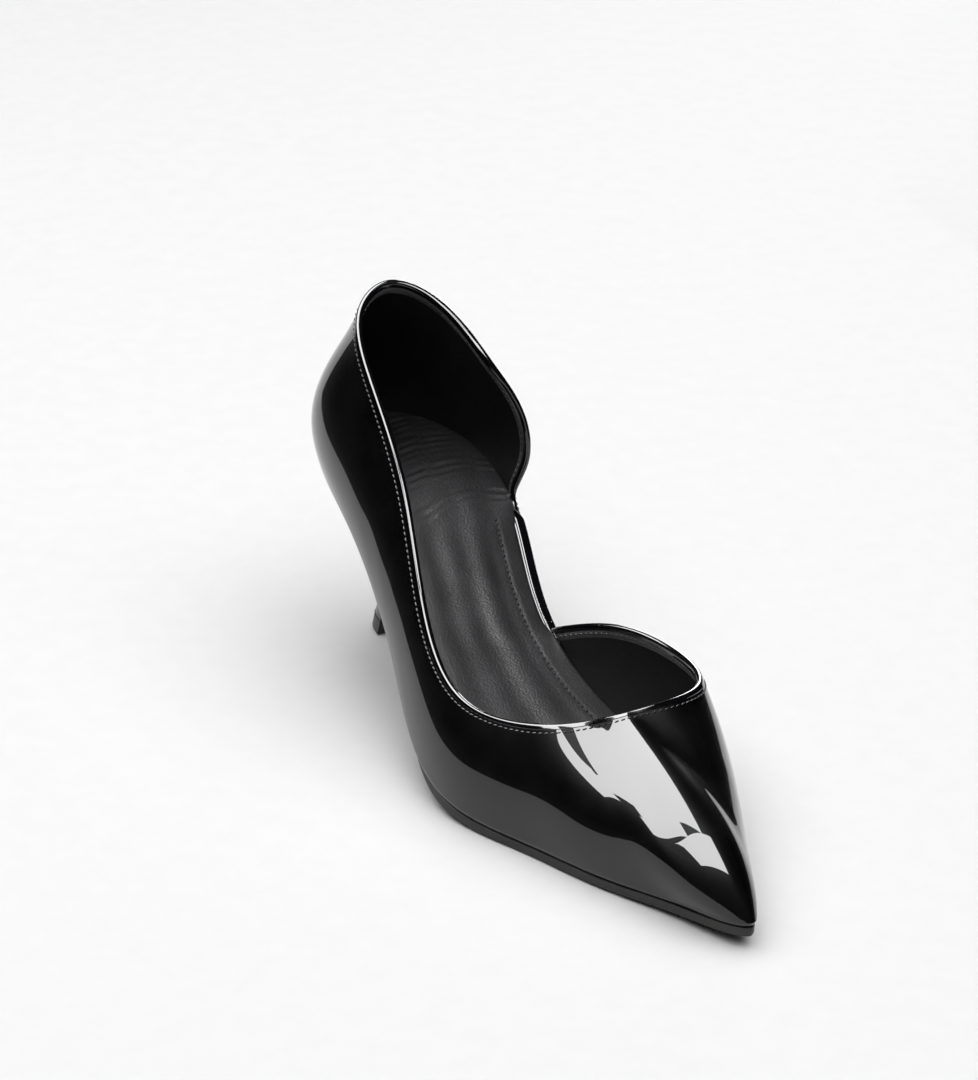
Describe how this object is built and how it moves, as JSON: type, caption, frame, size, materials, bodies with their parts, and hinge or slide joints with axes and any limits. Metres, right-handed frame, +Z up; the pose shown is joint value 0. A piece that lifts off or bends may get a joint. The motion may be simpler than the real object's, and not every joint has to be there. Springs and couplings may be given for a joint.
{
  "type": "high heel pump",
  "caption": "Pointed half-open pump in black patent leather with a cut-away inner waist, a padded insole and a slender waisted mid-height heel.",
  "frame": {"origin": "on the ground, under the middle of the shoe's bounding box", "axes": "+Z up, the toe points along -Y, +X is the wearer's inner (big-toe) side of this right shoe"},
  "size_m": [0.0823, 0.2517, 0.1233],
  "materials": {
    "patent_leather": "gloss black patent coating",
    "lining_leather": "matt black lining leather",
    "sock_leather": "satin black fine-grain leather",
    "reinforcement": "woven interlining and tape",
    "thermoplastic_sheet": "formed thermoplastic sheet",
    "fibreboard": "pressed cellulose board",
    "foam": "soft foam sheet",
    "cork_filler": "cork and latex paste",
    "steel": "plain rolled steel",
    "outsole_rubber": "black moulded sole rubber, satin",
    "heel_plastic": "moulded ABS core",
    "top_piece_plastic": "black polyurethane, satin"
  },
  "bodies": {
    "root": {"vamp": "patent_leather", "inner_quarter": "patent_leather", "topline_piping": "patent_leather", "waist_wrap": "patent_leather", "heel_cover": "patent_leather", "vamp_lining": "lining_leather", "quarter_lining": "lining_leather", "sock_lining": "sock_leather", "topline_tape": "reinforcement", "inner_wing_interlining": "reinforcement", "outer_side_interlining": "reinforcement", "toe_puff": "thermoplastic_sheet", "heel_counter": "thermoplastic_sheet", "insole_board": "fibreboard", "shank_board": "fibreboard", "heel_cushion": "foam", "forefoot_cushion": "foam", "bottom_filler": "cork_filler", "steel_shank": "steel", "shank_rivets": "steel", "heel_screw": "steel", "heel_nails": "steel", "heel_tube": "steel", "top_piece_dowel": "steel", "outsole": "outsole_rubber", "heel_block": "heel_plastic", "top_piece": "top_piece_plastic"}
  },
  "joints": []
}
